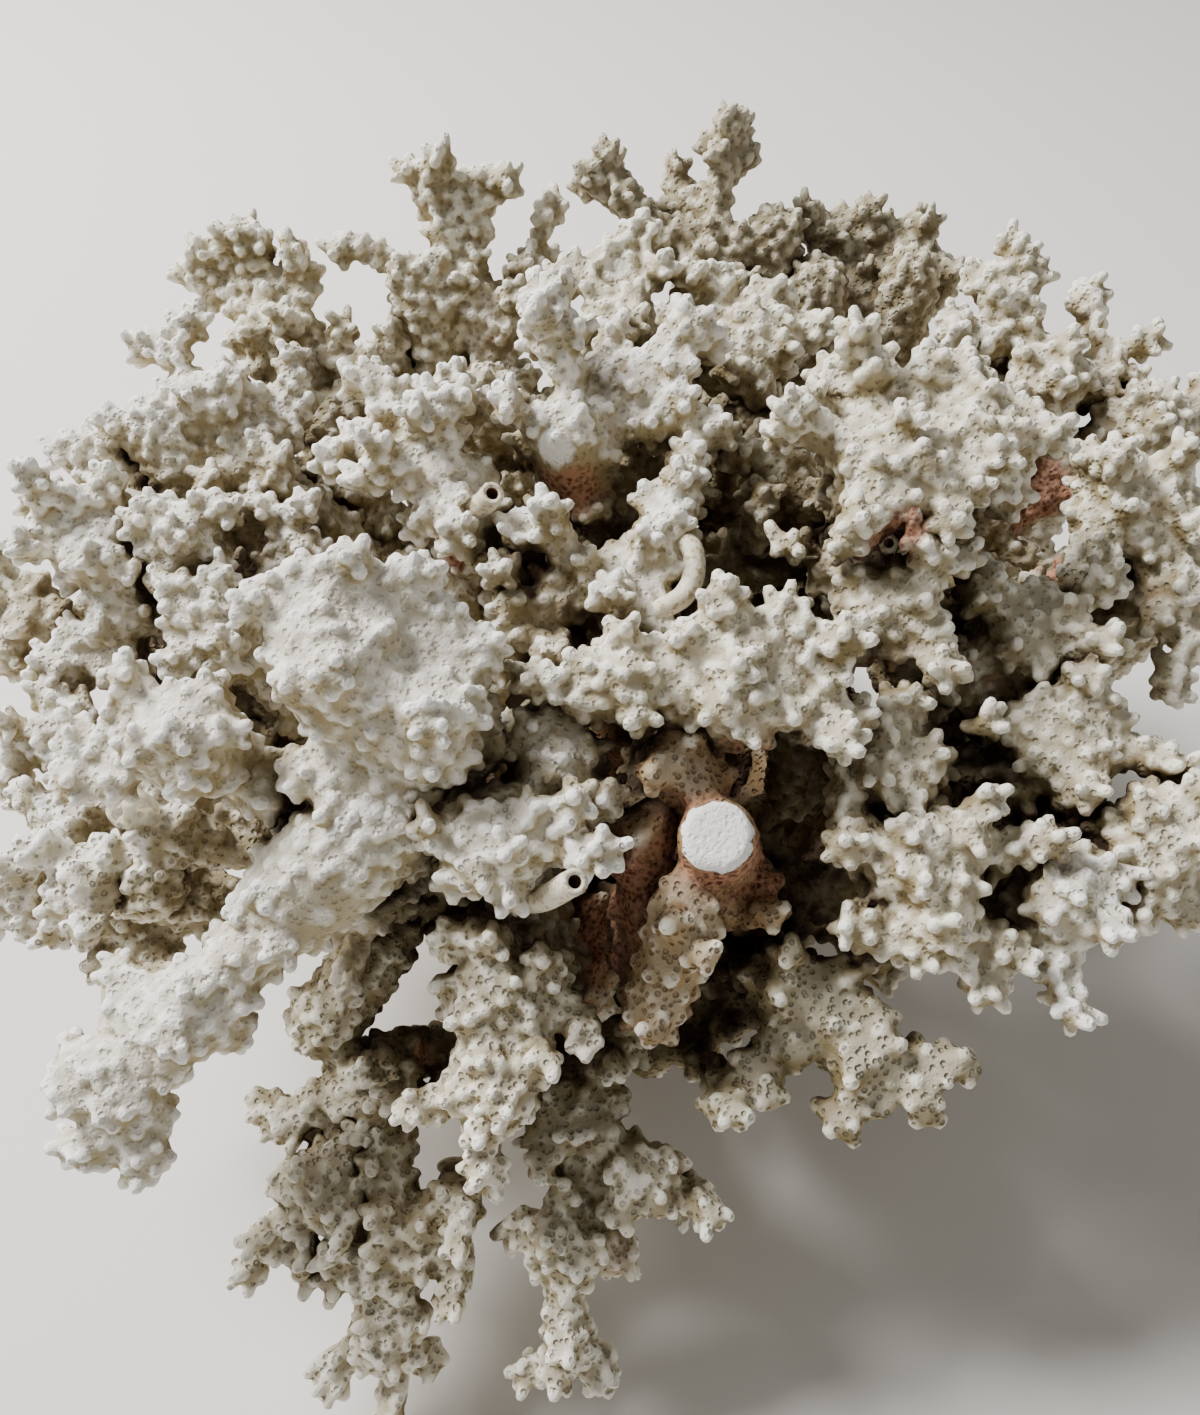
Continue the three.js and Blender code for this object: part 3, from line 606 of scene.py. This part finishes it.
    # rust where a sponge sat, in a honeycomb that fades at its ragged edge
    comb = addNode(tree, "TexVoronoi", {}, {"Vector": places, "Scale": 1 / cups["comb"]})
    cell = addNode(tree, "MapRange", smooth, {
        "Value": comb.outputs["Distance"], "From Min": 0.2, "From Max": 0.62, "To Min": 1, "To Max": 0})
    net = addNode(tree, "Mix", mixed, {
        0: cell.outputs[0], 6: linearColour(stainsAndShade["net"]), 7: linearColour(stainsAndShade["cell"])})
    ragged = addNode(tree, "Math", {"operation": "ADD"}, {0: rusty, 1: mottle.outputs["Fac"]})
    rusting = addNode(tree, "MapRange", smooth, {
        "Value": ragged.outputs[0], "From Min": 0.6, "From Max": 1.05, "To Min": 0, "To Max": 0.88})
    lit = addNode(tree, "MapRange", {}, {"Value": depth.outputs[0], "To Min": 1, "To Max": 0.5})
    rustShare = addNode(tree, "Math", {"operation": "MULTIPLY"}, {0: rusting.outputs[0], 1: lit.outputs[0]})
    rusted = addNode(tree, "Mix", mixed, {0: rustShare.outputs[0], 6: sunken.outputs[2], 7: net.outputs[2]})

    # chalk on the scars and the broken face
    chalk = addNode(tree, "MapRange", smooth, {"Value": worn, "From Min": 0.12, "From Max": 0.24})
    colour = addNode(tree, "Mix", mixed, {
        0: chalk.outputs[0], 6: rusted.outputs[2], 7: linearColour(stainsAndShade["chalk"])})
    tree.links.new(colour.outputs[2], shader.inputs["Base Color"])

    # the relief of the cups and the grain
    sunk = addNode(tree, "Math", {"operation": "MULTIPLY"}, {0: pitShade.outputs[0], 1: cups["pitShare"]})
    fine = addNode(tree, "Math", {"operation": "MULTIPLY"}, {
        0: grain.outputs["Fac"], 1: cups["grainShare"]})
    height = addNode(tree, "Math", {"operation": "ADD"}, {0: sunk.outputs[0], 1: fine.outputs[0]})
    bump = addNode(tree, "Bump", {}, {
        "Height": height.outputs[0], "Strength": 0.8, "Distance": cups["depth"]})
    tree.links.new(bump.outputs[0], shader.inputs["Normal"])
    shader.inputs["Roughness"].default_value = 0.92
    shader.inputs["Specular IOR Level"].default_value = 0.25
    return material


stones = {slot: coralStone(slot, colours) for slot, colours in finishes.items()}

cores = {name: growCore(name) for name in sorted(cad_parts)}
print("cores:", len(cores))
corners = []
sides = []
owners = []  # the head that each side belongs to
for name, core in cores.items():
    mesh = core["piece"].data
    owners += [name] * len(mesh.polygons)
    sides += [[corner + len(corners) for corner in face.vertices] for face in mesh.polygons]
    corners += [vert.co.copy() for vert in mesh.vertices]
colony = BVHTree.FromPolygons(corners, sides)
for name, core in cores.items():
    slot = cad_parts[name].data.materials[0].name.split(".")[0]
    piece = growWarts(name, core, colony, owners)
    piece.data.materials.clear()
    piece.data.materials.append(stones[slot])
    print("grown:", name, len(piece.data.polygons))


# What lives on the colony: lime tubes of worms, and one clear drop

# Points and girths in mm. A tube starts inside the branch it sits on: the whole of it is moved so that
# its second point lies on the skin.
tubes = {
    "worm_tube_knuckle": {"on": "knuckle", "girth": 4.4, "hole": 2.3, "path": [
        (-10, -62, 86), (-8, -70, 97), (-5, -74, 104), (-2.4, -76.2, 109.4), (-1.4, -77.6, 112)]},
    "worm_tube_arch": {"on": "arch", "girth": 4.4, "hole": 2.4, "path": [
        (-26, 0, 126), (-23.5, -2.5, 129.5), (-21, -5, 133), (-19.6, -6.8, 136)]},
    "worm_tube_ridge": {"on": "ridge", "girth": 3.4, "hole": 1.8, "path": [
        (51, -13, 127), (50.4, -15.5, 130), (49.7, -18.4, 133.2)]},
    "worm_hook_nest": {"on": "nest", "girth": 4.0, "hole": 1.2, "path": [
        (15, -12, 126), (17.2, -14.2, 129.4), (18.2, -18, 127.6), (16.6, -22, 124.6), (12.6, -25, 123.6),
        (9, -25.5, 121)]},
}
tubeLime = {
    "body": "#E6DEC8",
    "speck": "#AD9263",
    "inside": "#6E4534",
    "speckSize": 1.1 * mm,
    "speckRelief": 0.4 * mm,
}


def skinTree(name):
    bm = bmesh.new()
    bm.from_mesh(cores[name]["piece"].data)
    tree = BVHTree.FromBMesh(bm)
    bm.free()
    return tree


def roundLine(name, path, radius):
    # a smooth round pipe along the path, open at both ends
    line = bpy.data.curves.new(name, "CURVE")
    line.dimensions = "3D"
    line.resolution_u = 6
    line.bevel_depth = radius
    line.bevel_resolution = 4
    spline = line.splines.new("BEZIER")
    spline.bezier_points.add(len(path) - 1)
    for knot, place in zip(spline.bezier_points, path):
        knot.co = place
        knot.handle_left_type = "AUTO"
        knot.handle_right_type = "AUTO"
    piece = newPiece(name + "_line", line)
    mesh = bpy.data.meshes.new_from_object(piece.evaluated_get(bpy.context.evaluated_depsgraph_get()))
    bpy.data.objects.remove(piece)
    bpy.data.curves.remove(line)
    return mesh


def limeTube(name, tube):
    # the pipe gets its wall inwards, and faces with no vertex of the pipe's own are the lining
    path = [Vector(point) * mm for point in tube["path"]]
    shift = skinTree(tube["on"]).find_nearest(path[1])[0] - path[1]
    mesh = roundLine(name, [place + shift for place in path], tube["girth"] / 2 * mm)
    wall = (tube["girth"] - tube["hole"]) / 2
    bm = bmesh.new()
    bm.from_mesh(mesh)
    bmesh.ops.remove_doubles(bm, verts=bm.verts, dist=weld)
    bmesh.ops.recalc_face_normals(bm, faces=bm.faces)
    outside = set(bm.verts)
    bmesh.ops.solidify(bm, geom=bm.faces[:], thickness=wall * mm)
    for face in bm.faces:
        face.material_index = 0 if any(vert in outside for vert in face.verts) else 1
    bm.to_mesh(mesh)
    bm.free()
    mesh.name = name
    mesh.shade_smooth()
    return newPiece(name, mesh)


def wormLime(name, body, speck):
    material = bpy.data.materials.new(name)
    material.use_nodes = True
    tree = material.node_tree
    shader = tree.nodes["Principled BSDF"]
    places = addNode(tree, "TexCoord", {}, {}).outputs["Object"]
    specks = addNode(tree, "TexNoise", {}, {
        "Vector": places, "Scale": 1 / tubeLime["speckSize"], "Detail": 3})
    share = addNode(tree, "MapRange", {"interpolation_type": "SMOOTHSTEP"}, {
        "Value": specks.outputs["Fac"], "From Min": 0.5, "From Max": 0.66, "To Min": 0, "To Max": 0.8})
    colour = addNode(tree, "Mix", {"data_type": "RGBA"}, {
        0: share.outputs[0], 6: linearColour(body), 7: linearColour(speck)})
    tree.links.new(colour.outputs[2], shader.inputs["Base Color"])
    bump = addNode(tree, "Bump", {}, {
        "Height": specks.outputs["Fac"], "Strength": 0.5, "Distance": tubeLime["speckRelief"]})
    tree.links.new(bump.outputs[0], shader.inputs["Normal"])
    shader.inputs["Roughness"].default_value = 0.6
    return material


# Worm lime: laid down in rings by the animal, dull and smooth, cream with darker specks.
outerLime = wormLime("worm_lime", tubeLime["body"], tubeLime["speck"])
# Worm lining: the inner wall of the tube, a darker, dull red-brown.
innerLime = wormLime("worm_lining", tubeLime["inside"], tubeLime["speck"])
for name, tube in tubes.items():
    piece = limeTube(name, tube)
    piece.data.materials.append(outerLime)
    piece.data.materials.append(innerLime)
    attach(piece, "root")
print("tubes:", len(tubes))

# Sizes in mm. The drop is moved to the skin of its branch, half sunk in it.
drop = {
    "on": "fringe_left",
    "at": (-80, -48, 100),
    "size": (9.5, 7, 4),
    "facing": (0, -0.6, 0.8),
    "lump": 0.12,  # how far its outline strays from an oval, as a share
    "waves": (9, 5),  # how fast, along its length and across
}
bm = bmesh.new()
bmesh.ops.create_icosphere(bm, subdivisions=3, radius=0.5)
for vert in bm.verts:
    wave = drop["waves"][0] * vert.co.x + drop["waves"][1] * vert.co.y
    lump = 1 + drop["lump"] * math.sin(wave)
    vert.co = Vector(side * length for side, length in zip(vert.co * lump, drop["size"])) * mm
near = skinTree(drop["on"]).find_nearest(Vector(drop["at"]) * mm)[0]
facing = Vector(drop["facing"]).to_track_quat("Z", "Y").to_matrix().to_4x4()
bm.transform(Matrix.Translation(near) @ facing)
clearDrop = newPiece("clear_drop", meshFrom("clear_drop", bm))
clearDrop.data.shade_smooth()
# Resin: cured clear and smooth, so that the eye gets a wet gloss and a faint yellow.
resin = bpy.data.materials.new("clear_resin")
resin.use_nodes = True
resinShader = resin.node_tree.nodes["Principled BSDF"]
resinShader.inputs["Base Color"].default_value = linearColour("#F3EEDC")
resinShader.inputs["Roughness"].default_value = 0.08
resinShader.inputs["IOR"].default_value = 1.5
resinShader.inputs["Transmission Weight"].default_value = 0.75
clearDrop.data.materials.append(resin)
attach(clearDrop, "root")


# Floor, light and camera

studio = {
    "floorSize": 6.0,
    "floorColour": "#E4E0DA",
    "keyPlace": (-1.0, 0.45, 1.3),
    "keySize": 0.7,
    "keyPower": 70,
    "fillPlace": (0.9, -1.2, 0.9),
    "fillSize": 1.6,
    "fillPower": 3,
    "skyColour": "#E2E2DE",
    "skyStrength": 0.3,
    "aim": (0, 0, 0.08),
}

bm = bmesh.new()
bmesh.ops.create_grid(bm, x_segments=1, y_segments=1, size=studio["floorSize"] / 2)
floor = newPiece("studio_floor", meshFrom("studio_floor", bm))
# Painted board: rolled matt, so that the eye gets a pale even ground.
paintedBoard = bpy.data.materials.new("painted_board")
paintedBoard.use_nodes = True
boardShader = paintedBoard.node_tree.nodes["Principled BSDF"]
boardShader.inputs["Base Color"].default_value = linearColour(studio["floorColour"])
boardShader.inputs["Roughness"].default_value = 0.9
floor.data.materials.append(paintedBoard)


def softLight(name, place, size, power):
    lamp = bpy.data.lights.new(name, "AREA")
    lamp.shape = "DISK"
    lamp.size = size
    lamp.energy = power
    light = newPiece(name, lamp)
    light.location = place
    light.rotation_euler = (Vector(studio["aim"]) - light.location).to_track_quat("-Z", "Y").to_euler()
    return light


softLight("window_light", studio["keyPlace"], studio["keySize"], studio["keyPower"])
softLight("room_fill", studio["fillPlace"], studio["fillSize"], studio["fillPower"])
world = bpy.data.worlds.new("soft_room")
world.use_nodes = True
world.node_tree.nodes["Background"].inputs["Color"].default_value = linearColour(studio["skyColour"])
world.node_tree.nodes["Background"].inputs["Strength"].default_value = studio["skyStrength"]
bpy.context.scene.world = world

view = {
    "place": (0, -0.191, 0.266),
    "pitch": 45,  # degrees below the horizon
    "focal": 1250,  # in the photograph's own pixels
    "longSide": 1415,
    "sensor": 36,  # mm
    "clipStart": 0.01,
}
camera = newPiece("camera", bpy.data.cameras.new("camera"))
camera.location = view["place"]
camera.rotation_euler = (math.radians(90 - view["pitch"]), 0, 0)
camera.data.sensor_width = view["sensor"]
camera.data.lens = view["sensor"] * view["focal"] / view["longSide"]
camera.data.clip_start = view["clipStart"]
bpy.context.scene.camera = camera
